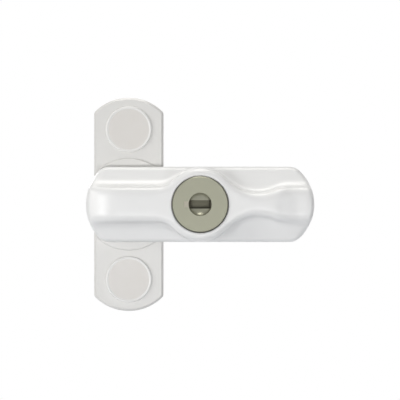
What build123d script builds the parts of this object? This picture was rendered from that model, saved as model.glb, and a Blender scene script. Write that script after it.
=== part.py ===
from build123d import *
import os
from math import atan2, cos, radians, sin, sqrt

# Lockable window restrictor of the swinging-arm kind, that holds a sash shut against its frame.
#
# A base plate is screwed to the window frame through two counterbored holes, each closed by a push-in cap.
# A cast arm swings on a screw through the middle of the base, and its tip crosses the sash and holds it
# shut. A key in the round lock turns a crank, which slides a flat bolt into a notch of the indexing hub,
# so that the arm can't swing.
#
# Everything is drawn lying on its back: X runs along the closed arm, Y along the base plate, and Z is the
# height above the window frame's surface. The last step stands it up as it is used: the height then points
# to -Y, the base plate runs along Z, and the origin is on the swing axis, on the plate's back face.
# Sizes are in millimetres and angles in degrees.

os.makedirs("parts", exist_ok=True)

# Clearances that several fits share
running_clearance = 0.05
fixed_clearance = 0.04

# Base plate
base_length = 74.0
base_width = 24.0
base_end_radius = 16.5
base_corner_radius = 1.5
base_wall = 1.8
plate_height = 4.8
plate_edge_chamfer = 0.7
turntable_radius = 16.0
turntable_rise = 0.8
turntable_edge_chamfer = 0.35
back_cell_depth = 3.0
back_rib = 1.6

# Fixing holes and their caps
screw_from_end = 11.0
screw_hole_radius = 2.3
screw_pocket_radius = 6.4
screw_floor = 1.8
cap_radius = 8.0
cap_rise = 0.8
cap_edge_chamfer = 0.4
cap_skirt_wall = 0.9
cap_skirt_depth = 1.6
cap_slit_width = 1.6

# Swing pivot
pivot_screw_radius = 3.0
pivot_thread_length = 5.6
pivot_head_radius = 5.6
pivot_head_height = 2.2
pivot_head_setback = 0.6
pivot_head_chamfer = 0.4
pivot_drive_width = 3.2
pivot_drive_depth = 1.3
pivot_pocket_radius = 7.0
disc_spring_height = 1.0
disc_spring_thickness = 0.4
disc_spring_radius = 6.5
hub_radius = 8.0
hub_height = 4.6
hub_edge_chamfer = 0.3
hub_spigot_radius = 5.2
hub_spigot_half_flat = 4.4
hub_cavity_clearance = 0.3
thrust_washer_radius = 7.2
thrust_washer_height = 0.5

# Arm, measured from the swing axis
arm_tail = 14.6
arm_reach = 64.0
arm_width = 26.0
arm_tail_radius = 17.0
arm_tip_radius = 16.0
arm_corner_radius = 5.0
arm_gap = 0.4
arm_wall = 1.8
skirt_height = 5.0
wing_rise = 3.5
wing_crest_half = 4.7
wing_edge_chamfer = 0.9
ridge_height = 13.0
ridge_foot_height = 9.8
ridge_edge_chamfer = 1.1
tail_roll_radius = 20.0
tail_roll_start = 2.0
tip_drop = 1.8
tip_drop_start = 49.2
tip_drop_run = 9.6

# Plan of the ridge: half widths of its walls, level with the wing's outer edge, how far they draw in to the
# top, and how much wider the foot is at that level
ridge_tail_half = 6.8
ridge_waist_half = 4.7
ridge_tip_half = 6.5
ridge_draft = 1.0
ridge_foot_spread = 3.0
ring_side_gap = 0.1
ring_draft = 0.3
flare_from_lock = 14.2
waist_from_lock = 19.9
tip_blend_radius = 8.0

# Lock barrel, in the ring of the arm
lock_from_pivot = 24.75
barrel_face_radius = 9.6
barrel_face_height = 4.2
barrel_proud = 0.8
barrel_chamfer = 0.35
barrel_body_radius = 8.5
barrel_body_length = 4.4
barrel_flat = 7.7
barrel_seat_clearance = 0.12
barrel_front_wall = 2.0
clip_thickness = 0.7
clip_width = 1.3
clip_groove_depth = 0.7
clip_groove_lip = 0.7
clip_opening = 60.0
key_mark_length = 1.6
key_mark_width = 2.1
key_mark_depth = 0.5
wafer_groove_depth = 0.9

# Lock plug, its wafers and its crank
plug_radius = 5.5
plug_nose_radius = 3.9
dish_radius = 4.9
keyway_length = 7.2
keyway_width = 2.9
keyway_corner_radius = 0.2
keyway_floor_thickness = 2.0
wafer_codes = (0.3, -0.2, 0.1, -0.3)
wafer_thickness = 0.6
wafer_pitch = 1.0
wafer_first_depth = 0.7
wafer_width = 4.8
wafer_window_length = 6.8
wafer_window_width = 3.1
wafer_ear_height = 1.2
wafer_ear_length = 1.0
wafer_spring_radius = 0.3
wafer_spring_length = 2.0
plug_tail_radius = 2.0
plug_tail_half_flat = 1.5
crank_radius = 4.4
crank_thickness = 0.8
crank_pin_radius = 1.0
crank_throw = 2.8
crank_screw_head_radius = 1.6
crank_screw_head_height = 0.9
crank_screw_radius = 0.9
crank_screw_length = 2.0
crank_screw_slot_width = 0.5
crank_screw_slot_depth = 0.4
key_turn = 90.0

# Bolt, and the plate that keeps it in the arm
bolt_thickness = 2.0
bolt_nose_width = 4.2
bolt_body_half_width = 5.2
bolt_body_half_length = 5.0
bolt_corner_radius = 0.6
bolt_clearance = 0.2
lock_cavity_clearance = 0.35
cover_thickness = 0.9
cover_recess = 0.2
cover_ring_radius = 11.5
cover_half_width = 7.0
cover_start = 10.2
cover_end = 46.0
cover_corner_radius = 1.2
cover_fit = 0.1
cover_ledge = 1.4
cover_screw_radius = 1.0
cover_screw_head_radius = 1.9
cover_screw_length = 4.5
cover_screw_slot_width = 0.5
cover_screw_slot_depth = 0.4
cover_screw_inset = 2.4
cover_screw_side = 4.9
hollow_rib = 1.4
hollow_roof = 1.6
ridge_cell_half_width = 2.4
ridge_cell_roof = 2.4

# Pad under the tip
pad_length = 9.5
pad_width = 15.0
pad_corner_radius = 2.5
pad_centre = 55.0
pad_proud = 1.3
pad_sunk = 2.6
pad_edge_chamfer = 0.5

# Heights above the window frame
turntable_top = plate_height + turntable_rise
pivot_head_top = pivot_head_setback + pivot_head_height
pivot_pocket_top = pivot_head_top + disc_spring_height
hub_top = turntable_top + hub_height
washer_top = hub_top + thrust_washer_height
arm_bearing = washer_top + running_clearance
arm_bottom = turntable_top + arm_gap
wing_edge_top = arm_bottom + skirt_height
wing_crest_top = wing_edge_top + wing_rise
foot_top = arm_bottom + ridge_foot_height
ridge_top = arm_bottom + ridge_height
tip_top = ridge_top - tip_drop
barrel_face = ridge_top + barrel_proud
barrel_shoulder = barrel_face - barrel_face_height
barrel_bottom = barrel_shoulder - barrel_body_length
clip_bottom = barrel_bottom + clip_groove_lip
clip_top = clip_bottom + clip_thickness
plug_top = barrel_face - barrel_front_wall
crank_top = barrel_bottom - running_clearance
crank_bottom = crank_top - crank_thickness
cover_bottom = arm_bottom + cover_recess
cover_top = cover_bottom + cover_thickness
bolt_bottom = cover_top + bolt_clearance
bolt_top = bolt_bottom + bolt_thickness
keyway_floor = barrel_bottom + keyway_floor_thickness
hollow_top = wing_edge_top - hollow_roof
pad_bottom = arm_bottom - pad_proud
pad_top = arm_bottom + pad_sunk

# Places and travels in plan
ring_radius = arm_width / 2 - ring_side_gap
hub_cavity_radius = hub_radius + hub_cavity_clearance
half_turn_reach = crank_throw * sin(radians(key_turn / 2))
pin_side = crank_throw * cos(radians(key_turn / 2))
bolt_travel = 2 * half_turn_reach
bolt_tip = hub_radius + 2 * bolt_clearance
hub_notch_floor = bolt_tip - bolt_travel - bolt_clearance
hub_notch_width = bolt_nose_width + 2 * bolt_clearance
bolt_corner_reach = sqrt((bolt_body_half_length + bolt_travel) ** 2 + bolt_body_half_width**2)
clip_inner_radius = barrel_body_radius - clip_groove_depth + fixed_clearance
clip_outer_radius = clip_inner_radius + clip_width
lock_cavity_radius = max(bolt_corner_reach, clip_outer_radius) + lock_cavity_clearance
wafer_slot_width = wafer_width + 2 * fixed_clearance
wafer_slot_height = wafer_thickness + 2 * fixed_clearance
screw_from_middle = base_length / 2 - screw_from_end
screw_places = [(0, -screw_from_middle), (0, screw_from_middle)]
cover_screw_xs = (cover_start + cover_screw_inset, cover_end - cover_screw_inset)
cover_screw_places = [(x, side * cover_screw_side) for x in cover_screw_xs for side in (-1, 1)]
wafer_heights = [plug_top - wafer_first_depth - count * wafer_pitch for count in range(len(wafer_codes))]

AT_LOCK = Pos(lock_from_pivot, 0)
STAND_UP = Rot(90, 0, 0)


def block(profile, low, high):
    """A flat outline raised into a block between two heights."""
    return extrude(Pos(0, 0, low) * profile, high - low)


def disc(radius, low, high):
    return Pos(0, 0, (low + high) / 2) * Cylinder(radius, high - low)


def flatted(radius, half_flat):
    """A circle with two flats, as on a shaft that something is keyed to."""
    return Circle(radius) & Rectangle(2 * radius, 2 * half_flat)


def rounded_bar(low, high, half, low_radius, high_radius, corner):
    """A bar along X, whose ends are arcs and whose corners are rounded."""
    low_inner = low + low_radius - sqrt(low_radius**2 - half**2)
    high_inner = high - high_radius + sqrt(high_radius**2 - half**2)
    bar = make_face([
        Line((low_inner, half), (high_inner, half)),
        ThreePointArc((high_inner, half), (high, 0), (high_inner, -half)),
        Line((high_inner, -half), (low_inner, -half)),
        ThreePointArc((low_inner, -half), (low, 0), (low_inner, half)),
    ])
    return fillet(bar.vertices(), corner)


# The base plate, and the caps over its fixing holes


def base_outline(inset=0.0):
    half_length = base_length / 2 - inset
    end_radius = base_end_radius - inset
    half_width = base_width / 2 - inset
    return Rot(0, 0, 90) * rounded_bar(
        -half_length, half_length, half_width, end_radius, end_radius, base_corner_radius
    )


def base_plate():
    """Cast plate: bevelled rim, raised turntable, seats for the caps, and a hollow back with ribs."""
    plate = block(base_outline(), 0, plate_height)
    plate = chamfer(plate.faces().sort_by(Axis.Z)[-1].edges(), plate_edge_chamfer)
    turntable_outline = base_outline(plate_edge_chamfer) & Circle(turntable_radius)
    turntable = block(turntable_outline, plate_height - turntable_rise, turntable_top)
    plate += chamfer(turntable.faces().sort_by(Axis.Z)[-1].edges(), turntable_edge_chamfer)

    hollow = base_outline(base_wall) - Rectangle(back_rib, base_length)
    hollow -= Circle(pivot_pocket_radius + base_wall)
    for place in screw_places:
        hollow -= Pos(place) * Circle(screw_pocket_radius + base_wall)
    plate -= block(hollow, 0, back_cell_depth)

    plate -= disc(pivot_pocket_radius, 0, pivot_pocket_top)
    spigot_hole = flatted(hub_spigot_radius + fixed_clearance, hub_spigot_half_flat + fixed_clearance)
    plate -= block(spigot_hole, 0, turntable_top)
    for place in screw_places:
        plate -= Pos(place) * disc(cap_radius + fixed_clearance, plate_height, turntable_top)
        plate -= Pos(place) * disc(screw_pocket_radius, screw_floor, turntable_top)
        plate -= Pos(place) * disc(screw_hole_radius, 0, turntable_top)
    return plate


def screw_cap(place):
    """Push-in cap: a flat head with a bevelled rim, on a slit skirt that springs into the counterbore."""
    head = disc(cap_radius, plate_height, plate_height + cap_rise)
    head = chamfer(head.edges().sort_by(Axis.Z)[-1], cap_edge_chamfer)
    skirt_radius = screw_pocket_radius - fixed_clearance
    skirt = disc(skirt_radius, plate_height - cap_skirt_depth, plate_height)
    skirt -= disc(skirt_radius - cap_skirt_wall, plate_height - cap_skirt_depth, plate_height)
    slits = Rectangle(cap_slit_width, 2 * skirt_radius) + Rectangle(2 * skirt_radius, cap_slit_width)
    skirt -= block(slits, plate_height - cap_skirt_depth, plate_height)
    return Pos(place) * (head + skirt)


# What the arm swings on


def indexing_hub():
    """Steel hub keyed into the base plate, with an open notch for the bolt at each quarter turn."""
    hub = disc(hub_radius, turntable_top, hub_top)
    hub = chamfer(hub.edges().sort_by(Axis.Z)[-1], hub_edge_chamfer)
    hub += block(flatted(hub_spigot_radius, hub_spigot_half_flat), pivot_pocket_top, turntable_top)
    hub -= disc(pivot_screw_radius + running_clearance, pivot_pocket_top, hub_top)
    notch_length = hub_radius - hub_notch_floor
    notch = Pos(hub_notch_floor + notch_length / 2, 0) * Rectangle(notch_length, hub_notch_width)
    for quarter in range(4):
        hub -= Rot(0, 0, 90 * quarter) * block(notch, bolt_bottom - bolt_clearance, hub_top)
    return hub


def disc_spring():
    """Coned spring washer between the pivot screw's head and the plate: it gives the arm its friction."""
    inner = pivot_screw_radius + hub_cavity_clearance
    low = pivot_head_top + running_clearance
    section = Polyline(
        (inner, low),
        (disc_spring_radius, pivot_pocket_top - disc_spring_thickness),
        (disc_spring_radius, pivot_pocket_top),
        (inner, low + disc_spring_thickness),
        close=True,
    )
    return revolve(Plane.XZ * make_face(section), Axis.Z)


def thrust_washer():
    bore = disc(pivot_screw_radius + running_clearance, hub_top, washer_top)
    return disc(thrust_washer_radius, hub_top, washer_top) - bore


def pivot_screw():
    """Screw from behind: its head pulls on the disc spring, and its end is threaded into the arm."""
    head = disc(pivot_head_radius, pivot_head_setback, pivot_head_top)
    head = chamfer(head.edges().sort_by(Axis.Z)[0], pivot_head_chamfer)
    head -= block(
        RegularPolygon(pivot_drive_width / 2, 6, major_radius=False),
        pivot_head_setback,
        pivot_head_setback + pivot_drive_depth,
    )
    shank = disc(pivot_screw_radius, pivot_head_top, arm_bearing + pivot_thread_length)
    shank = chamfer(shank.edges().sort_by(Axis.Z)[-1], pivot_head_chamfer)
    return head + shank


# The arm


def arm_outline(inset=0.0):
    return rounded_bar(
        inset - arm_tail,
        arm_reach - inset,
        arm_width / 2 - inset,
        arm_tail_radius - inset,
        arm_tip_radius - inset,
        arm_corner_radius - inset,
    )


def ridge_outline(tail_half, ring, waist_half, tip_half):
    """The ridge from above at one height: straight over the pivot, round the lock, waisted, then straight
    to the tip. Each hollow arc is tangent to the ring, which fixes its radius."""
    overrun = arm_corner_radius
    flare = (flare_from_lock**2 + tail_half**2 - ring**2) / (2 * (ring - tail_half))
    waist = (waist_from_lock**2 + waist_half**2 - ring**2) / (2 * (ring - waist_half))
    flare_angle = atan2(tail_half + flare, flare_from_lock)
    waist_angle = atan2(waist_half + waist, waist_from_lock)
    tip_rise = waist_half + waist - tip_half + tip_blend_radius
    tip_run = sqrt((waist + tip_blend_radius) ** 2 - tip_rise**2)
    waist_share = waist / (waist + tip_blend_radius)

    flare_x = lock_from_pivot - flare_from_lock
    waist_x = lock_from_pivot + waist_from_lock
    tail_end = (-arm_tail - overrun, tail_half)
    flare_start = (flare_x, tail_half)
    ring_start = (lock_from_pivot - ring * cos(flare_angle), ring * sin(flare_angle))
    ring_end = (lock_from_pivot + ring * cos(waist_angle), ring * sin(waist_angle))
    waist_end = (waist_x + tip_run * waist_share, waist_half + waist - tip_rise * waist_share)
    tip_start = (waist_x + tip_run, tip_half)
    tip_end = (arm_reach + overrun, tip_half)
    upper = [
        Line(tail_end, flare_start),
        RadiusArc(flare_start, ring_start, -flare),
        ThreePointArc(ring_start, (lock_from_pivot, ring), ring_end),
        ThreePointArc(ring_end, (waist_x, waist_half), waist_end),
        RadiusArc(waist_end, tip_start, tip_blend_radius),
        Line(tip_start, tip_end),
    ]
    lower = [mirror(edge, about=Plane.XZ) for edge in upper]
    ends = [Line(tip_end, (tip_end[0], -tip_half)), Line((tail_end[0], -tail_half), tail_end)]
    return make_face([*upper, *lower, *ends])


def arm_side():
    """The arm from the side: the ridge's back rolls off over the tail and steps down before the tip."""
    low = -arm_tail - arm_corner_radius
    high = arm_reach + arm_corner_radius
    roll_centre = ridge_top - tail_roll_radius
    roll_x = -tail_roll_start
    roll_middle = (low + roll_x) / 2
    low_top = roll_centre + sqrt(tail_roll_radius**2 - (low - roll_x) ** 2)
    middle_top = roll_centre + sqrt(tail_roll_radius**2 - (roll_middle - roll_x) ** 2)
    drop_end = tip_drop_start + tip_drop_run
    drop_middle = ((tip_drop_start + drop_end) / 2, (ridge_top + tip_top) / 2)
    drop_radius = (tip_drop_run**2 + tip_drop**2) / (4 * tip_drop)
    return make_face([
        Line((low, arm_bottom), (low, low_top)),
        ThreePointArc((low, low_top), (roll_middle, middle_top), (roll_x, ridge_top)),
        Line((roll_x, ridge_top), (tip_drop_start, ridge_top)),
        RadiusArc((tip_drop_start, ridge_top), drop_middle, drop_radius),
        RadiusArc(drop_middle, (drop_end, tip_top), -drop_radius),
        Line((drop_end, tip_top), (high, tip_top)),
        Line((high, tip_top), (high, arm_bottom)),
        Line((high, arm_bottom), (low, arm_bottom)),
    ])


def back_rim(casting):
    """The edges round the faces that look away from the window frame."""
    backs = [face for face in casting.faces() if face.normal_at(face.center()).Z > sin(radians(30))]
    edges = [edge for face in backs for edge in face.edges()]
    return [edge for edge in edges if sum(edge.is_same(other) for other in edges) == 1]


def ridge_level(height, spread, ring):
    """The ridge's outline at a height, so much wider than its walls are at the wing's outer edge."""
    return Pos(0, 0, height) * ridge_outline(
        ridge_tail_half + spread, ring, ridge_waist_half + spread, ridge_tip_half + spread
    )


def arm_ridge():
    """The raised back of the arm: steep walls with a bevelled edge, on a foot that spreads over the wings."""
    side = extrude(Plane.XZ * arm_side(), arm_width, both=True) & block(arm_outline(), arm_bottom, ridge_top)
    wall_ring = ring_radius - ring_draft
    crown_ring = wall_ring - ring_draft
    wall_low = ridge_level(wing_edge_top, 0, wall_ring)
    wall_high = ridge_level(ridge_top, -ridge_draft, crown_ring)
    foot_low = ridge_level(wing_edge_top, ridge_foot_spread, ring_radius)
    foot_high = ridge_level(foot_top, -ridge_draft, crown_ring)

    ridge = loft([wall_low, wall_high], ruled=True) & side
    ridge = chamfer(back_rim(ridge), ridge_edge_chamfer)
    foot = loft([foot_low, foot_high], ruled=True) & side
    return ridge + foot + AT_LOCK * disc(ring_radius, arm_bottom, wing_edge_top)


def arm_wings():
    """The arm's lower body: a skirt, and a roof that slopes up to the ridge from both sides."""
    half = arm_width / 2
    section = make_face(Polyline(
        (-half, arm_bottom),
        (half, arm_bottom),
        (half, wing_edge_top),
        (wing_crest_half, wing_crest_top),
        (-wing_crest_half, wing_crest_top),
        (-half, wing_edge_top),
        close=True,
    ))
    roof = extrude(Plane.YZ * section, arm_reach + arm_width, both=True)
    wings = block(arm_outline(), arm_bottom, wing_crest_top) & roof
    return chamfer(back_rim(wings), wing_edge_chamfer)


def cover_outline(grow=0.0):
    bar_length = cover_end - cover_start + 2 * grow
    bar_middle = (cover_start + cover_end) / 2
    bar = Pos(bar_middle, 0) * RectangleRounded(bar_length, 2 * (cover_half_width + grow), cover_corner_radius)
    return bar + AT_LOCK * Circle(cover_ring_radius + grow)


def pad_outline(grow=0.0):
    return Pos(pad_centre, 0) * RectangleRounded(
        pad_length + 2 * grow, pad_width + 2 * grow, pad_corner_radius + grow
    )


def swing_arm():
    """Cast arm: wings and ridge outside, and below them the hub's cavity with the boss of the pivot screw,
    the lock's seat and cavity, the bolt's channel, the cover's recess, and hollows with ribs between."""
    wings = arm_wings()
    ridge = arm_ridge()
    arm = wings + ridge

    arm -= disc(hub_cavity_radius, arm_bottom, arm_bearing)
    thread_end = arm_bearing + pivot_thread_length + fixed_clearance
    arm -= disc(pivot_screw_radius + fixed_clearance, arm_bearing, thread_end)

    lock_bore = Circle(barrel_body_radius + fixed_clearance)
    lock_bore &= Pos(0, fixed_clearance + barrel_flat - barrel_body_radius) * Rectangle(
        4 * barrel_body_radius, 2 * barrel_body_radius
    )
    arm -= AT_LOCK * disc(barrel_face_radius + barrel_seat_clearance, barrel_shoulder, barrel_face)
    arm -= AT_LOCK * block(lock_bore, clip_top, barrel_shoulder)
    arm -= AT_LOCK * disc(lock_cavity_radius, arm_bottom, clip_top)

    channel_top = bolt_top + bolt_clearance
    channel = Pos(lock_from_pivot / 2, 0) * Rectangle(lock_from_pivot, bolt_nose_width + 2 * bolt_clearance)
    arm -= block(channel, arm_bottom, channel_top)
    arm -= block(cover_outline(cover_fit), arm_bottom, cover_top)
    for place in cover_screw_places:
        arm -= Pos(place) * disc(
            cover_screw_radius + fixed_clearance, cover_top, cover_bottom + cover_screw_length + cover_fit
        )

    cell_start = lock_from_pivot + lock_cavity_radius + arm_wall
    cell_end = cover_end - arm_wall
    cell = Pos((cell_start + cell_end) / 2, 0) * RectangleRounded(
        cell_end - cell_start, 2 * ridge_cell_half_width, cover_corner_radius
    )
    arm -= block(cell, cover_top, ridge_top - ridge_cell_roof)

    arm -= block(pad_outline(fixed_clearance), arm_bottom, pad_top)
    hollow = arm_outline(arm_wall)
    hollow -= Circle(hub_cavity_radius + arm_wall)
    hollow -= cover_outline(cover_fit + cover_ledge)
    hollow -= pad_outline(cover_ledge)
    hollow -= Rectangle(hollow_rib, arm_width)
    hollow -= Pos(cell_start, 0) * Rectangle(hollow_rib, arm_width)
    arm -= block(hollow, arm_bottom, hollow_top)
    return arm


def bolt_cover():
    """Steel plate let into the arm's underside, with countersunk holes."""
    cover = block(cover_outline(), cover_bottom, cover_top)
    for place in cover_screw_places:
        sink = Pos(0, 0, (cover_bottom + cover_top) / 2) * Cone(
            cover_screw_head_radius + fixed_clearance, cover_screw_radius + fixed_clearance, cover_thickness
        )
        cover -= Pos(place) * sink
    return cover


def cover_screws():
    """Countersunk screws with slotted heads, flush with the cover."""
    screws = []
    for place in cover_screw_places:
        screw = Pos(0, 0, (cover_bottom + cover_top) / 2) * Cone(
            cover_screw_head_radius, cover_screw_radius, cover_thickness
        )
        screw += disc(cover_screw_radius, cover_top, cover_bottom + cover_screw_length)
        slot = Rectangle(2 * cover_screw_head_radius, cover_screw_slot_width)
        screw -= block(slot, cover_bottom, cover_bottom + cover_screw_slot_depth)
        screws.append(Pos(place) * screw)
    return Compound(children=screws)


def sash_pad():
    pad = block(pad_outline(), pad_bottom, pad_top)
    return chamfer(pad.faces().sort_by(Axis.Z)[0].edges(), pad_edge_chamfer)


# The key lock


def lock_barrel():
    """Flanged housing with a flat against turning, a groove for its clip, and grooves for the wafers."""
    body = Circle(barrel_body_radius) & Pos(0, barrel_flat - barrel_body_radius) * Rectangle(
        4 * barrel_body_radius, 2 * barrel_body_radius
    )
    flange = disc(barrel_face_radius, barrel_shoulder, barrel_face)
    barrel = chamfer(flange.edges().sort_by(Axis.Z)[-1], barrel_chamfer)
    barrel += block(body, barrel_bottom, barrel_shoulder)
    groove = disc(barrel_face_radius, clip_bottom, clip_top)
    barrel -= groove - disc(barrel_body_radius - clip_groove_depth, clip_bottom, clip_top)

    barrel -= disc(plug_nose_radius + running_clearance, barrel_bottom, barrel_face)
    barrel -= disc(plug_radius + running_clearance, barrel_bottom, plug_top)
    groove_reach = 2 * (plug_radius + wafer_groove_depth)
    wafer_grooves = Rectangle(groove_reach, wafer_slot_width) + Rectangle(wafer_slot_width, groove_reach)
    barrel -= block(wafer_grooves, barrel_bottom, plug_top - wafer_first_depth / 2)
    mark_middle = plug_nose_radius + key_mark_length / 2
    mark = Pos(-mark_middle, 0) * Rectangle(key_mark_length, key_mark_width)
    barrel -= block(mark, barrel_face - key_mark_depth, barrel_face)
    return AT_LOCK * barrel


def barrel_clip():
    """Open spring clip in the barrel's groove, below the arm's web."""
    low = clip_bottom + fixed_clearance
    high = clip_top - fixed_clearance
    clip = disc(clip_outer_radius, low, high) - disc(clip_inner_radius, low, high)
    reach = 2 * clip_outer_radius
    spread = reach * sin(radians(clip_opening / 2))
    opening = make_face(Polyline((0, 0), (reach, -spread), (reach, spread), close=True))
    return AT_LOCK * (clip - block(opening, low, high))


def wafer_slot_place(height):
    return Pos(0, 0, height - wafer_slot_height / 2)


def lock_plug():
    """Turned cylinder with a dished nose and a keyway, slots for the wafers, and a flatted tail."""
    plug = disc(plug_radius, barrel_bottom, plug_top - running_clearance)
    plug += disc(plug_nose_radius, barrel_bottom, barrel_face)
    plug += block(flatted(plug_tail_radius, plug_tail_half_flat), crank_bottom, barrel_bottom)
    dish_centre = barrel_face + sqrt(dish_radius**2 - plug_nose_radius**2)
    plug -= Pos(0, 0, dish_centre) * Sphere(dish_radius)
    keyway = RectangleRounded(keyway_length, keyway_width, keyway_corner_radius)
    plug -= block(keyway, keyway_floor, barrel_face)

    slot = Rectangle(2 * plug_radius, wafer_slot_width)
    ear_reach = wafer_width / 2 + wafer_ear_height + fixed_clearance
    ear_room = wafer_ear_length + 2 * wafer_spring_length
    slot += Pos(0, ear_reach / 2) * Rectangle(ear_room, ear_reach)
    for height in wafer_heights:
        plug -= wafer_slot_place(height) * extrude(slot, wafer_slot_height)
    plug -= disc(
        crank_screw_radius + fixed_clearance, crank_bottom, crank_bottom + crank_screw_length + fixed_clearance
    )
    return AT_LOCK * plug


def lock_wafer(height, code):
    """Flat wafer with a window for the key, set to its code, and an ear for its spring."""
    reach = plug_radius - wafer_groove_depth / 2
    frame = Circle(reach) & Rectangle(2 * reach, wafer_width)
    frame -= Pos(code, 0) * Rectangle(wafer_window_length, wafer_window_width)
    ear_reach = wafer_width / 2 + wafer_ear_height
    ear_low = wafer_window_width / 2
    ear = Pos(0, (ear_low + ear_reach) / 2) * Rectangle(wafer_ear_length, ear_reach - ear_low)
    return AT_LOCK * block(frame + ear, height - wafer_thickness / 2, height + wafer_thickness / 2)


def wafer_springs():
    """The wafers' springs, one beside each wafer's ear, drawn as rods of the coil's size."""
    springs = []
    side = wafer_width / 2 + wafer_ear_height / 2
    start = wafer_ear_length / 2 + fixed_clearance
    length = wafer_spring_length - 2 * fixed_clearance
    for height in wafer_heights:
        rod = Rot(0, 90, 0) * Cylinder(wafer_spring_radius, length)
        springs.append(Pos(lock_from_pivot - start - length / 2, side, height) * rod)
    return Compound(children=springs)


def crank_disc():
    """Disc on the plug's tail, with the eccentric pin that works the bolt's cross slot."""
    crank = disc(crank_radius, crank_bottom, crank_top)
    tail_hole = flatted(plug_tail_radius + fixed_clearance, plug_tail_half_flat + fixed_clearance)
    crank -= block(tail_hole, crank_bottom, crank_top)
    pin = disc(crank_pin_radius, bolt_bottom + bolt_clearance, crank_bottom)
    return AT_LOCK * (crank + Pos(half_turn_reach, pin_side) * pin)


def crank_screw():
    low = crank_bottom - crank_screw_head_height
    screw = disc(crank_screw_head_radius, low, crank_bottom)
    slot = Rectangle(2 * crank_screw_head_radius, crank_screw_slot_width)
    screw -= block(slot, low, low + crank_screw_slot_depth)
    return AT_LOCK * (screw + disc(crank_screw_radius, crank_bottom, crank_bottom + crank_screw_length))


def locking_bolt():
    """Flat bolt: a nose that enters the hub's notch, and a body with a cross slot for the crank's pin."""
    nose_end = lock_from_pivot - bolt_body_half_length / 2
    nose = Pos((bolt_tip + nose_end) / 2, 0) * RectangleRounded(
        nose_end - bolt_tip, bolt_nose_width, bolt_corner_radius
    )
    body = AT_LOCK * RectangleRounded(
        2 * bolt_body_half_length, 2 * bolt_body_half_width, bolt_corner_radius
    )
    slot_half_width = crank_pin_radius + bolt_clearance
    slot = Rot(0, 0, 90) * SlotCenterToCenter(2 * crank_throw, 2 * slot_half_width)
    outline = nose + body - AT_LOCK * Pos(half_turn_reach, 0) * slot
    return block(outline, bolt_bottom, bolt_top)


pieces = {
    "base_plate": base_plate(),
    "lower_screw_cap": screw_cap(screw_places[0]),
    "upper_screw_cap": screw_cap(screw_places[1]),
    "indexing_hub": indexing_hub(),
    "disc_spring": disc_spring(),
    "thrust_washer": thrust_washer(),
    "pivot_screw": pivot_screw(),
    "swing_arm": swing_arm(),
    "bolt_cover": bolt_cover(),
    "cover_screws": cover_screws(),
    "sash_pad": sash_pad(),
    "lock_barrel": lock_barrel(),
    "barrel_clip": barrel_clip(),
    "lock_plug": lock_plug(),
    "wafer_springs": wafer_springs(),
    "crank_disc": crank_disc(),
    "crank_screw": crank_screw(),
    "locking_bolt": locking_bolt(),
}
for count, (height, code) in enumerate(zip(wafer_heights, wafer_codes), start=1):
    pieces[f"lock_wafer_{count}"] = lock_wafer(height, code)

for name, piece in pieces.items():
    export_step(STAND_UP * piece, f"parts/{name}.step")

print(f"The bolt travels {bolt_travel:.3f} mm for {key_turn:.0f} degrees of the key.")
print(f"The hub's notches leave {hub_notch_floor - pivot_screw_radius - running_clearance:.2f} mm of wall.")
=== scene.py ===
from math import cos, hypot, pi, radians, sin

import bmesh
import bpy
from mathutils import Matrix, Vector


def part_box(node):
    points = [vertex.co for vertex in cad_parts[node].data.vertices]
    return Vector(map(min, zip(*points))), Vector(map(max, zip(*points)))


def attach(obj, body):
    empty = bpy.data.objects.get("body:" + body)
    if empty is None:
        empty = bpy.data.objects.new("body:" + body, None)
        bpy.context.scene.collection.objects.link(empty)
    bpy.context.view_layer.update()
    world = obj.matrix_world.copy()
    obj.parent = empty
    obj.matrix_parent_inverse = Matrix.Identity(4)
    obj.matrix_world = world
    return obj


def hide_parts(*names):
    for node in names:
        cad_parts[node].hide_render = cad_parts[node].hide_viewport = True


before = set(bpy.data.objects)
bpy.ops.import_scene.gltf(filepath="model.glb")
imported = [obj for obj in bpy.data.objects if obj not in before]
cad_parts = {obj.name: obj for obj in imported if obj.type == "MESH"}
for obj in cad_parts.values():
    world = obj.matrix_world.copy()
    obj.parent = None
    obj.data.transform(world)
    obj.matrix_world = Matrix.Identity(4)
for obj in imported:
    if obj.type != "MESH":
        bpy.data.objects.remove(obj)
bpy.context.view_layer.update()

mm = 0.001

# The view. The lock is seen straight from the front with a long lens, level with the arm. The base plate
# stands left of the middle, and the arm's tip points to the right.
view_width = 137.9 * mm
view_centre = Vector((24.7 * mm, 0, 1.5 * mm))
lens = 250.0
sensor = 36.0
focus_height = 10.0 * mm
camera_distance = view_width * lens / sensor
nearest_seen = 0.01
farthest_seen = 20.0

camera_data = bpy.data.cameras.new("camera")
camera_data.lens = lens
camera_data.sensor_width = sensor
camera_data.clip_start = nearest_seen
camera_data.clip_end = farthest_seen
camera = bpy.data.objects.new("camera", camera_data)
camera.location = view_centre + Vector((0, -camera_distance - focus_height, 0))
camera.rotation_euler = (pi / 2, 0, 0)
bpy.context.scene.collection.objects.link(camera)
bpy.context.scene.camera = camera
bpy.context.scene.view_settings.view_transform = "Standard"


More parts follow.
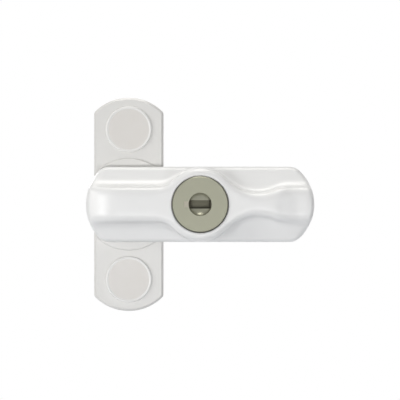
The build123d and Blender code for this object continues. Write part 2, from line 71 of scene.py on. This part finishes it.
# The light and the floor. Soft white light comes from all round. Soft boxes stand in front, to the left, to
# the right and behind, and two more hang above: one draws the bright lines on the arm's upper edges, the
# other the crescent in the plug's dish. The floor below the lock looks white and takes its shadow.
class Wire:
    """An output of a shader node. Arithmetic on it adds Math nodes, and node() adds any other."""

    def __init__(self, tree, socket=None):
        self.tree = tree
        self.socket = socket

    def node(self, kind, settings=None, inputs=None, output=0):
        """Adds a node, with its settings first, and then the values or links of its sockets."""
        made = self.tree.nodes.new(kind)
        for name, value in (settings or {}).items():
            setattr(made, name, value)
        for name, value in (inputs or {}).items():
            if isinstance(value, Wire):
                self.tree.links.new(value.socket, made.inputs[name])
            else:
                made.inputs[name].default_value = value
        return Wire(self.tree, made.outputs[output])

    def math(self, operation, *values):
        return self.node("ShaderNodeMath", {"operation": operation}, dict(enumerate(values)))

    def __add__(self, other):
        return self.math("ADD", self, other)

    def __radd__(self, other):
        return self.math("ADD", other, self)

    def __sub__(self, other):
        return self.math("SUBTRACT", self, other)

    def __rsub__(self, other):
        return self.math("SUBTRACT", other, self)

    def __mul__(self, other):
        return self.math("MULTIPLY", self, other)

    def __rmul__(self, other):
        return self.math("MULTIPLY", other, self)

    def clamped(self):
        return self.math("MAXIMUM", self.math("MINIMUM", self, 1.0), 0.0)

    def step(self, low, high):
        """0 below low, 1 above high, and smooth between them."""
        settings = {"interpolation_type": "SMOOTHSTEP"}
        return self.node("ShaderNodeMapRange", settings, {"Value": self, "From Min": low, "From Max": high})


white = (1.0, 1.0, 1.0)
surround_level = 0.2
world = bpy.data.worlds.new("studio")
world.use_nodes = True
world.node_tree.nodes.clear()
air = Wire(world.node_tree)


def white_rays(tree):
    """1 for the rays that should see plain white: the camera's, and those off gloss or through glass."""
    camera_ray, glossy_ray, clear_ray = (
        tree.node("ShaderNodeLightPath", output=name)
        for name in ("Is Camera Ray", "Is Glossy Ray", "Is Transmission Ray")
    )
    return (camera_ray + glossy_ray + clear_ray).clamped()


level = surround_level + white_rays(air) * (1.0 - surround_level)
sky = air.node("ShaderNodeBackground", None, {"Color": (*white, 1.0), "Strength": level})
world_output = world.node_tree.nodes.new("ShaderNodeOutputWorld")
world.node_tree.links.new(sky.socket, world_output.inputs["Surface"])
bpy.context.scene.world = world

lamp_target = Vector((view_centre.x, 0, 0))
warm_white = (1.0, 0.985, 0.95)


def soft_box(name, place, width, height, watts, tint=white):
    """A rectangular lamp that points at the lock. Its place and its sides are in metres."""
    data = bpy.data.lights.new(name, "AREA")
    data.shape = "RECTANGLE"
    data.size = width
    data.size_y = height
    data.energy = watts
    data.color = tint
    lamp = bpy.data.objects.new(name, data)
    lamp.location = place
    lamp.rotation_euler = (lamp_target - Vector(place)).to_track_quat("-Z", "Y").to_euler()
    bpy.context.scene.collection.objects.link(lamp)


soft_box("front_light", place=(0.025, -2.2, -0.36), width=1.2, height=0.3, watts=9.5)
soft_box("left_front_light", place=(-1.2, -1.4, -0.1), width=0.5, height=0.4, watts=8.6)
soft_box("left_light", place=(-1.5, -0.8, 0.3), width=0.5, height=0.7, watts=7.0, tint=warm_white)
soft_box("right_front_light", place=(1.2, -1.4, -0.22), width=0.5, height=0.3, watts=5.0)
soft_box("back_light", place=(-1.0, 1.9, 0.9), width=1.0, height=0.8, watts=8.0)
soft_box("top_back_light", place=(0.025, 0.15, 1.6), width=1.2, height=0.3, watts=7.5, tint=warm_white)
soft_box("top_light", place=(0.025, -0.3, 1.54), width=0.6, height=0.3, watts=4.9, tint=warm_white)

floor_height = -76.0 * mm
floor_front = -0.2
floor_back = 0.1
floor_half_width = 0.4
floor_colour = (0.6, 0.62, 0.66, 1.0)
floor_roughness = 0.9
floor_glow = (0.7, 0.7, 0.7, 1.0)
no_glow = (0.0, 0.0, 0.0, 1.0)


def new_finish(name, constants):
    """A material with one Principled shader, whose constant values are set on its own sockets."""
    material = bpy.data.materials.new(name + "_finish")
    material.use_nodes = True
    tree = material.node_tree
    tree.nodes.clear()
    shader = tree.nodes.new("ShaderNodeBsdfPrincipled")
    output = tree.nodes.new("ShaderNodeOutputMaterial")
    tree.links.new(shader.outputs["BSDF"], output.inputs["Surface"])
    for socket, value in constants.items():
        shader.inputs[socket].default_value = value
    return material, Wire(tree), shader


def feed(wire, shader, socket):
    wire.tree.links.new(wire.socket, shader.inputs[socket])


def mixed(tree, amount, first, second):
    """The colour between two others, by an amount from 0 to 1. A Mix node's colours go by socket number."""
    amount_socket, first_socket, second_socket, colour_output = 0, 6, 7, 2
    inputs = {amount_socket: amount, first_socket: first, second_socket: second}
    return tree.node("ShaderNodeMix", {"data_type": "RGBA"}, inputs, colour_output)


def floor_plane():
    """One level face below the lock."""
    grid = bmesh.new()
    bmesh.ops.create_grid(grid, x_segments=1, y_segments=1, size=1.0)
    half_run = (floor_back - floor_front) / 2
    bmesh.ops.scale(grid, verts=grid.verts, vec=(floor_half_width, half_run, 1.0))
    bmesh.ops.translate(grid, verts=grid.verts, vec=(view_centre.x, floor_back - half_run, floor_height))
    mesh = bpy.data.meshes.new("floor")
    grid.to_mesh(mesh)
    grid.free()
    floor = bpy.data.objects.new("floor", mesh)
    bpy.context.scene.collection.objects.link(floor)
    return floor


def floor_paint():
    """Pale paint that glows only for the white rays, so that the lock's shadow still shows on it."""
    constants = {"Base Color": floor_colour, "Roughness": floor_roughness, "Emission Strength": 1.0}
    material, tree, shader = new_finish("floor_paint", constants)
    feed(mixed(tree, white_rays(tree), no_glow, floor_glow), shader, "Emission Color")
    return material


floor_plane().data.materials.append(floor_paint())


# Base plate. A zinc casting with a raised turntable and a bevelled rim, powder coated satin white. Two
# screws hold it to the window frame, through its counterbores.
plate_light = (0.7, 0.695, 0.675)
plate_dark = (0.67, 0.66, 0.64)
plate_gloss = 0.42
coat_constants = {"Coat Weight": 0.6, "Coat Roughness": 0.3, "Specular IOR Level": 0.5}
coat_mottle = 9.0 * mm
coat_gloss_patch = 2.5 * mm
coat_gloss_change = 0.12
coat_peel = 0.7 * mm
coat_peel_depth = 0.012 * mm
grain_middle = 0.5


def grain(tree, size, detail=3.0, stretch=None):
    """Noise with features of a real size, in metres, on the piece itself. Its values lie round 0.5."""
    place = tree.node("ShaderNodeTexCoord", output="Object")
    if stretch:
        place = tree.node("ShaderNodeMapping", None, {"Vector": place, "Scale": stretch})
    return tree.node("ShaderNodeTexNoise", None, {"Vector": place, "Scale": 1 / size, "Detail": detail})


def shade_between(tree, amount, first, second):
    return mixed(tree, amount, (*first, 1.0), (*second, 1.0))


def raised(tree, height, depth):
    """The normal of a surface that stands up by a depth where the height is 1."""
    return tree.node("ShaderNodeBump", None, {"Height": height, "Distance": depth}, "Normal")


def powder_coat(name, light, dark, gloss):
    """Powder coat: a faint orange peel, and a colour and gloss that hardly vary."""
    material, tree, shader = new_finish(name, coat_constants)
    feed(shade_between(tree, grain(tree, coat_mottle), light, dark), shader, "Base Color")
    patches = grain(tree, coat_gloss_patch) - grain_middle
    feed(gloss + coat_gloss_change * patches, shader, "Roughness")
    feed(raised(tree, grain(tree, coat_peel, detail=2.0), coat_peel_depth), shader, "Normal")
    return material


def dress(node, material):
    """Gives a piece its material."""
    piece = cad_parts[node] if isinstance(node, str) else node
    if not piece.material_slots:
        piece.data.materials.append(material)
    for place in piece.material_slots:
        place.material = material


dress("base_plate", powder_coat("plate_coat", plate_light, plate_dark, plate_gloss))


# Screw caps. Each is moulded in white plastic, a little warmer than the paint, with a raised round lip, and
# snaps into the counterbore over its screw. The lip is painted paler, as a highlight.
cap_radius = 8.0 * mm
cap_seat = 4.8 * mm
cap_lip = 0.5 * mm
cap_lip_degrees = range(135, -1, -15)
cap_dip = 0.15 * mm
cap_skirt = 6.36 * mm
cap_skirt_wall = 0.9 * mm
cap_skirt_depth = 1.6 * mm
cap_from_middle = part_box("upper_screw_cap")[1].z - cap_radius
cap_light = (0.71, 0.69, 0.665)
cap_dark = (0.68, 0.655, 0.62)
# Painted highlight: the lips are coloured paler than the rest of the cap.
lip_painted_highlight = (0.8, 0.795, 0.78, 1.0)
lip_highlight_start = 6.8 * mm
lip_highlight_end = 7.3 * mm
plastic_mottle = 6.0 * mm
plastic_gloss = 0.3
plastic_gloss_change = 0.1
plastic_gloss_patch = 1.5 * mm
plastic_pit = 0.25 * mm
plastic_pit_depth = 0.004 * mm
spin_steps = 96
spin_weld = 0.0001 * mm
sharp_edge = radians(35)


def turned(name, profile, centre):
    """A turned piece: (radius, height) points spun round an axis that stands on the window frame."""
    centre_x, centre_z = centre
    made = bmesh.new()
    ring = [made.verts.new((centre_x + radius, -height, centre_z)) for radius, height in profile]
    edges = [made.edges.new(pair) for pair in zip(ring, ring[1:])]
    bmesh.ops.spin(
        made, geom=ring + edges, cent=(centre_x, 0, centre_z), axis=(0, 1, 0), angle=2 * pi,
        steps=spin_steps, use_merge=True,
    )
    bmesh.ops.remove_doubles(made, verts=made.verts, dist=spin_weld)
    bmesh.ops.recalc_face_normals(made, faces=made.faces)
    return finished_mesh(name, made, sharp_edge)


def finished_mesh(name, made, smooth_angle):
    """Turns a bmesh into an object at the origin, smooth but for its sharp edges."""
    for face in made.faces:
        face.smooth = True
    for edge in made.edges:
        edge.smooth = not edge.is_manifold or edge.calc_face_angle(0) < smooth_angle
    mesh = bpy.data.meshes.new(name)
    made.to_mesh(mesh)
    made.free()
    piece = bpy.data.objects.new(name, mesh)
    bpy.context.scene.collection.objects.link(piece)
    return piece


def screw_cap(node):
    """A cap with a slightly dipped face, a rolled lip and a hollow skirt, in the place of its CAD node."""
    low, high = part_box(node)
    top = -low.y
    lip_centre = top - cap_lip
    lip = [
        (cap_radius - cap_lip + cap_lip * cos(angle), lip_centre + cap_lip * sin(angle))
        for angle in map(radians, cap_lip_degrees)
    ]
    profile = [
        (0.0, top - cap_dip),
        (cap_radius - 2 * cap_lip, top - cap_dip),
        *lip,
        (cap_radius, cap_seat),
        (cap_skirt, cap_seat),
        (cap_skirt, cap_seat - cap_skirt_depth),
        (cap_skirt - cap_skirt_wall, cap_seat - cap_skirt_depth),
        (cap_skirt - cap_skirt_wall, cap_seat - cap_lip),
        (0.0, cap_seat - cap_lip),
    ]
    cap = turned(node.replace("screw_cap", "cap"), profile, ((low.x + high.x) / 2, (low.z + high.z) / 2))
    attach(cap, "base")
    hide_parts(node)
    return cap


def axis(tree, letter):
    """The place along X, Y or Z, in metres."""
    place = tree.node("ShaderNodeTexCoord", output="Object")
    return tree.node("ShaderNodeSeparateXYZ", None, {"Vector": place}, letter)


def moulded_plastic(name, light, dark):
    """Moulded plastic with a finely grained skin. Its shader and colour come too, to be added to."""
    material, tree, shader = new_finish(name, {"Specular IOR Level": 0.5})
    colour = shade_between(tree, grain(tree, plastic_mottle), light, dark)
    feed(colour, shader, "Base Color")
    feed(plastic_gloss + plastic_gloss_change * grain(tree, plastic_gloss_patch), shader, "Roughness")
    feed(raised(tree, grain(tree, plastic_pit, detail=2.0), plastic_pit_depth), shader, "Normal")
    return material, tree, shader, colour


def cap_plastic():
    """The caps' plastic, with a painted highlight: paler on their lips."""
    material, tree, shader, colour = moulded_plastic("cap_plastic", cap_light, cap_dark)
    along = axis(tree, "X")
    off_cap = tree.math("ABSOLUTE", axis(tree, "Z")) - cap_from_middle
    off_centre = tree.math("SQRT", along * along + off_cap * off_cap)
    highlighted_lip = off_centre.step(lip_highlight_start, lip_highlight_end)
    feed(mixed(tree, highlighted_lip, colour, lip_painted_highlight), shader, "Base Color")
    return material


white_plastic = cap_plastic()
for node in ("upper_screw_cap", "lower_screw_cap"):
    dress(screw_cap(node), white_plastic)


# Indexing hub and the other steel pieces of the pivot and the lock. They are turned or stamped from steel,
# and the tool's fine marks show on them.
tool_mark_detail = 4.0
tool_mark_gloss_change = 0.15
tool_mark_depth = 0.004 * mm


def worked_metal(name, light, dark, rough, marks, stretch):
    """Bare or plated metal, whose colour, gloss and height all follow the tool's marks."""
    material, tree, shader = new_finish(name, {"Metallic": 1.0})
    lines = grain(tree, marks, tool_mark_detail, stretch)
    feed(shade_between(tree, lines, light, dark), shader, "Base Color")
    feed(rough + tool_mark_gloss_change * (lines - grain_middle), shader, "Roughness")
    feed(raised(tree, lines, tool_mark_depth), shader, "Normal")
    return material


bright_steel = worked_metal(
    "bright_steel", light=(0.62, 0.62, 0.63), dark=(0.5, 0.5, 0.51),
    rough=0.3, marks=0.3 * mm, stretch=(1, 1, 8),
)
spring_steel = worked_metal(
    "spring_steel", light=(0.42, 0.42, 0.43), dark=(0.3, 0.3, 0.31),
    rough=0.32, marks=0.4 * mm, stretch=(6, 1, 1),
)
zinc_plated_steel = worked_metal(
    "zinc_plated_steel", light=(0.68, 0.7, 0.72), dark=(0.56, 0.57, 0.6),
    rough=0.34, marks=1.2 * mm, stretch=(1, 1, 1),
)
for metal, slot, nodes in (
    (bright_steel, "bright_steel", ("indexing_hub", "crank_disc", "locking_bolt")),
    (spring_steel, "spring_steel", ("disc_spring", "barrel_clip", "wafer_springs")),
    (zinc_plated_steel, "zinc_plated_steel", ("pivot_screw", "bolt_cover", "cover_screws", "crank_screw")),
):
    for node in nodes:
        dress(node, metal)


# Wafers. Four flat plates stamped from brass, each pushed along its slot in the plug by a spring. They show
# only through the keyway, and their colour is painted near black there as the keyway's shade.
# Painted shade: the wafers' colour is far darker than brass, so that the keyway reads as shaded.
wafer_brass = worked_metal(
    "wafer_brass", light=(0.075, 0.068, 0.05), dark=(0.05, 0.045, 0.035),
    rough=0.6, marks=0.3 * mm, stretch=(1, 1, 6),
)
for node in ("lock_wafer_1", "lock_wafer_2", "lock_wafer_3", "lock_wafer_4"):
    dress(node, wafer_brass)


# Thrust washer. A flat ring moulded in natural nylon, which lies between the hub and the arm and keeps
# metal from rubbing on metal as the arm swings.
nylon_light = (0.87, 0.85, 0.78)
nylon_dark = (0.82, 0.8, 0.72)
nylon = moulded_plastic("natural_nylon", nylon_light, nylon_dark)[0]
dress("thrust_washer", nylon)


# Swing arm. A zinc casting, powder coated like the base plate. The mould leaves every edge soft and a
# wide fillet at the foot of the ridge, and the seat of the lock is machined after the casting.
arm_light = (0.79, 0.79, 0.785)
arm_dark = (0.765, 0.765, 0.76)
arm_gloss = 0.4
arm_sharp_edge = radians(50)
arm_weld = 0.001 * mm
arm_voxel = 0.32 * mm
side_rim_width = 1.8 * mm
end_rim_width = 3.6 * mm
back_height = 10.5 * mm
outside_normal = 0.3
softening = 0.5
edge_rounds = 4
flank_rounds = 10
far_flank_rounds = 40
far_flank_start = 13.5 * mm
far_flank_step = 0.1 * mm
lock_low, lock_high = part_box("lock_barrel")
lock_x = (lock_low.x + lock_high.x) / 2
seat_gap = 0.15 * mm
seat_radius = (lock_high.x - lock_low.x) / 2 + seat_gap
seat_floor = 15.6 * mm
seat_reach = 0.35 * mm
ring_reach = 1.1 * mm


def even_copy(node, name):
    """A copy of a node's mesh as one closed skin of small, even faces."""
    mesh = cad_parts[node].data.copy()
    source = bpy.data.objects.new(name + "_source", mesh)
    bpy.context.scene.collection.objects.link(source)
    welded = bmesh.new()
    welded.from_mesh(mesh)
    bmesh.ops.remove_doubles(welded, verts=welded.verts, dist=arm_weld)
    welded.to_mesh(mesh)
    welded.free()
    remesh = source.modifiers.new("even", "REMESH")
    remesh.mode = "VOXEL"
    remesh.voxel_size = arm_voxel
    remesh.adaptivity = 0.0
    shown = source.evaluated_get(bpy.context.evaluated_depsgraph_get())
    skin = bmesh.new()
    skin.from_mesh(shown.to_mesh())
    bpy.data.objects.remove(source)
    bpy.data.meshes.remove(mesh)
    skin.normal_update()
    return skin


def cast_skin(node, name):
    """The even copy of a casting, with its outer edges softened and its lock seat kept true."""
    low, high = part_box(node)
    skin = even_copy(node, name)

    def off_lock(vert):
        return hypot(vert.co.x - lock_x, vert.co.z)

    def on_side_rim(vert):
        return abs(vert.co.z) > high.z - side_rim_width

    def on_end_rim(vert):
        return vert.co.x > high.x - end_rim_width or vert.co.x < low.x + end_rim_width

    def on_back(vert):
        return -vert.co.y > back_height

    # The edges are softened a little, the ridge's flanks more, and most of all far from the lock.
    outer = [
        vert for vert in skin.verts
        if vert.normal.y < outside_normal and off_lock(vert) > seat_radius + ring_reach
    ]
    edges = [vert for vert in outer if on_back(vert) or on_side_rim(vert) or on_end_rim(vert)]
    flank = [vert for vert in outer if on_back(vert) and not on_side_rim(vert)]
    rounds = [edges] * edge_rounds + [flank] * flank_rounds
    for count in range(far_flank_rounds):
        clear_of_lock = far_flank_start + count * far_flank_step
        rounds.append([vert for vert in flank if off_lock(vert) > clear_of_lock])
    for soft in rounds:
        bmesh.ops.smooth_vert(
            skin, verts=soft, factor=softening, use_axis_x=True, use_axis_y=True, use_axis_z=True,
        )

    # The wall of the seat is drawn in or out to its true radius.
    for vert in skin.verts:
        reach = off_lock(vert)
        if -vert.co.y > seat_floor + arm_voxel and reach < seat_radius + seat_reach:
            share = seat_radius / reach
            vert.co.x = lock_x + (vert.co.x - lock_x) * share
            vert.co.z = vert.co.z * share
    return finished_mesh(name, skin, arm_sharp_edge)


arm_skin = cast_skin("swing_arm", "arm_casting")
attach(arm_skin, "arm")
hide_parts("swing_arm")
dress(arm_skin, powder_coat("arm_coat", arm_light, arm_dark, arm_gloss))


# Sash pad. A block of grey rubber, moulded in one piece and pushed into its pocket under the arm's tip,
# where it bears on the sash.
rubber_light = (0.3, 0.3, 0.31)
rubber_dark = (0.24, 0.24, 0.25)
rubber_mottle = 3.0 * mm
rubber_gloss = 0.6
rubber_gloss_change = 0.2
rubber_gloss_patch = 1.0 * mm
rubber_pit = 0.2 * mm
rubber_pit_depth = 0.01 * mm


def grey_rubber():
    material, tree, shader = new_finish("grey_rubber", {"Specular IOR Level": 0.35})
    feed(shade_between(tree, grain(tree, rubber_mottle), rubber_light, rubber_dark), shader, "Base Color")
    feed(rubber_gloss + rubber_gloss_change * grain(tree, rubber_gloss_patch), shader, "Roughness")
    feed(raised(tree, grain(tree, rubber_pit), rubber_pit_depth), shader, "Normal")
    return material


dress("sash_pad", grey_rubber())


# Lock barrel and key plug. Both are turned and plated in a satin, slightly olive nickel. The barrel's face
# stands proud of the ring, with painted shade round its rim that is darkest below, and the plug's nose is
# dished round a keyway that is painted dark deep inside, as its shade.
barrel_shade = (0.21, 0.21, 0.163)
barrel_gloss = 0.36
mark_start = 0.42 * mm
mark_end = 0.47 * mm
mark_metal = (0.25, 0.235, 0.195, 1.0)
plug_shade = (0.26, 0.257, 0.2)
plug_gloss = 0.26
# Painted shade: the plug is coloured near black deeper than these depths under its face, inside the keyway.
keyway_start = 2.0 * mm
keyway_end = 2.3 * mm
keyway_painted_shade = (0.066, 0.063, 0.046, 1.0)
# Painted shade: a dark ring round the rim of the barrel's face stands in for the shade of the gap.
rim_painted_shade = (0.03, 0.03, 0.022, 1.0)
rim_shade_start = seat_radius - 0.4 * mm
rim_shade_end = seat_radius - 0.15 * mm
rim_shade_lost_above = 0.6
plating_metallic = 0.85
plating_mottle = 4.0 * mm
plating_darkest = 0.93
plating_gloss_change = 0.08
plating_gloss_patch = 0.3 * mm
plating_pit = 0.12 * mm
plating_pit_depth = 0.003 * mm
face_height = -lock_low.y


def satin_plating(name, shade, gloss, deep_start, deep_end, deep_colour):
    """Satin plating with painted shade round the rim, weaker above, and another colour deeper under the
    face.
    """
    material, tree, shader = new_finish(name, {"Metallic": plating_metallic})
    along, back, up = (axis(tree, letter) for letter in "XYZ")
    off_axis = tree.math("SQRT", (along - lock_x) * (along - lock_x) + up * up)
    under_face = back + face_height
    darkest = [plating_darkest * part for part in shade]
    plated = shade_between(tree, grain(tree, plating_mottle), shade, darkest)
    deepened = mixed(tree, under_face.step(deep_start, deep_end), plated, deep_colour)
    # The painted shade round the rim is strongest below and loses most of its darkness above.
    most_below = 1.0 - rim_shade_lost_above * up.step(-seat_radius, seat_radius)
    rim_shaded = off_axis.step(rim_shade_start, rim_shade_end) * most_below
    feed(mixed(tree, rim_shaded, deepened, rim_painted_shade), shader, "Base Color")
    feed(gloss + plating_gloss_change * grain(tree, plating_gloss_patch), shader, "Roughness")
    feed(raised(tree, grain(tree, plating_pit, detail=2.0), plating_pit_depth), shader, "Normal")
    return material


barrel_plating = satin_plating(
    "barrel_plating", barrel_shade, barrel_gloss, mark_start, mark_end, mark_metal,
)
# The plug's deeper colour is the keyway's painted shade.
plug_plating = satin_plating(
    "plug_plating", plug_shade, plug_gloss, keyway_start, keyway_end, keyway_painted_shade,
)
dress("lock_barrel", barrel_plating)
dress("lock_plug", plug_plating)
